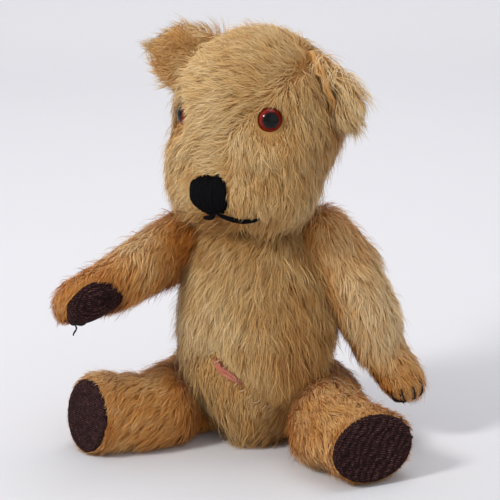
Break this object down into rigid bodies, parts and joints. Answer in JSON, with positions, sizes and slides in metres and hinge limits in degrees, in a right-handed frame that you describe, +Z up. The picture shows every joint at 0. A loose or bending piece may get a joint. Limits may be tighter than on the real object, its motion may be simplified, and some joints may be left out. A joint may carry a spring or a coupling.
{
  "type": "jointed teddy bear",
  "caption": "Seated mohair teddy bear with glass eyes, stitched nose, cloth paw and foot pads, and disc joints at the neck, shoulders and hips.",
  "frame": {"origin": "middle of the flat seat under the torso, on the surface that the bear sits on", "axes": "+Z up, -Y the way the torso faces, +X the bear's left"},
  "size_m": [0.2007, 0.1314, 0.239],
  "materials": {
    "mohair_pale": "pale straw mohair pile, silky",
    "mohair_golden": "golden mohair pile, silky",
    "pad_cloth": "dark purple-brown woven wool cloth, matt",
    "wood_wool": "packed fine wood shavings",
    "hardboard": "pressed board, matt",
    "steel": "plain steel",
    "black_thread": "black wool thread",
    "pale_thread": "fawn cotton thread",
    "amber_glass": "polished red-amber glass",
    "black_glass": "polished black glass"
  },
  "bodies": {
    "torso": {"back_seam_stitches": "pale_thread", "belly_mend_stitches": "pale_thread", "left_hip_inner_disc": "hardboard", "left_hip_inner_washer": "steel", "left_shoulder_inner_disc": "hardboard", "left_shoulder_inner_washer": "steel", "neck_inner_disc": "hardboard", "neck_inner_washer": "steel", "right_hip_inner_disc": "hardboard", "right_hip_inner_washer": "steel", "right_shoulder_inner_disc": "hardboard", "right_shoulder_inner_washer": "steel", "torso_cover": "mohair_pale", "torso_stuffing": "wood_wool"},
    "head": {"head_cover": "mohair_pale", "head_stuffing": "wood_wool", "left_ear": "mohair_pale", "left_eye": "amber_glass", "left_eye_shank": "steel", "left_pupil": "black_glass", "mouth_stitches": "black_thread", "neck_cotter_pin": "steel", "neck_outer_disc": "hardboard", "neck_outer_washer": "steel", "nose_stitches": "black_thread", "right_ear": "mohair_pale", "right_eye": "amber_glass", "right_eye_shank": "steel", "right_pupil": "black_glass"},
    "left_arm": {"left_arm_cover": "mohair_golden", "left_arm_stuffing": "wood_wool", "left_claw_stitches": "black_thread", "left_paw_pad": "pad_cloth", "left_shoulder_cotter_pin": "steel", "left_shoulder_outer_disc": "hardboard", "left_shoulder_outer_washer": "steel"},
    "right_arm": {"right_arm_cover": "mohair_golden", "right_arm_stuffing": "wood_wool", "right_claw_stitches": "black_thread", "right_paw_pad": "pad_cloth", "right_shoulder_cotter_pin": "steel", "right_shoulder_outer_disc": "hardboard", "right_shoulder_outer_washer": "steel"},
    "left_leg": {"left_foot_pad": "pad_cloth", "left_hip_cotter_pin": "steel", "left_hip_outer_disc": "hardboard", "left_hip_outer_washer": "steel", "left_leg_cover": "mohair_golden", "left_leg_stuffing": "wood_wool", "left_toe_stitches": "black_thread"},
    "right_leg": {"right_foot_pad": "pad_cloth", "right_hip_cotter_pin": "steel", "right_hip_outer_disc": "hardboard", "right_hip_outer_washer": "steel", "right_leg_cover": "mohair_golden", "right_leg_stuffing": "wood_wool"}
  },
  "joints": [
    {"name": "neck_turn", "type": "hinge", "parent": "torso", "child": "head", "pos_m": [0, 0, 0.131], "axis": [0, 0, 1], "continuous": true},
    {"name": "left_shoulder", "type": "hinge", "parent": "torso", "child": "left_arm", "pos_m": [0.0306, 0.004, 0.115], "axis": [-0.9088, -0.2266, -0.3502], "range_deg": [-80, 100]},
    {"name": "right_shoulder", "type": "hinge", "parent": "torso", "child": "right_arm", "pos_m": [-0.0306, 0.004, 0.115], "axis": [-0.9088, 0.2266, 0.3502], "range_deg": [-151, 29]},
    {"name": "left_hip", "type": "hinge", "parent": "torso", "child": "left_leg", "pos_m": [0.025, 0.004, 0.026], "axis": [-0.8109, -0.4969, 0.309], "range_deg": [-79.8, 25.2]},
    {"name": "right_hip", "type": "hinge", "parent": "torso", "child": "right_leg", "pos_m": [-0.025, 0.004, 0.026], "axis": [-0.8109, 0.4969, -0.309], "range_deg": [-79.8, 25.2]}
  ]
}
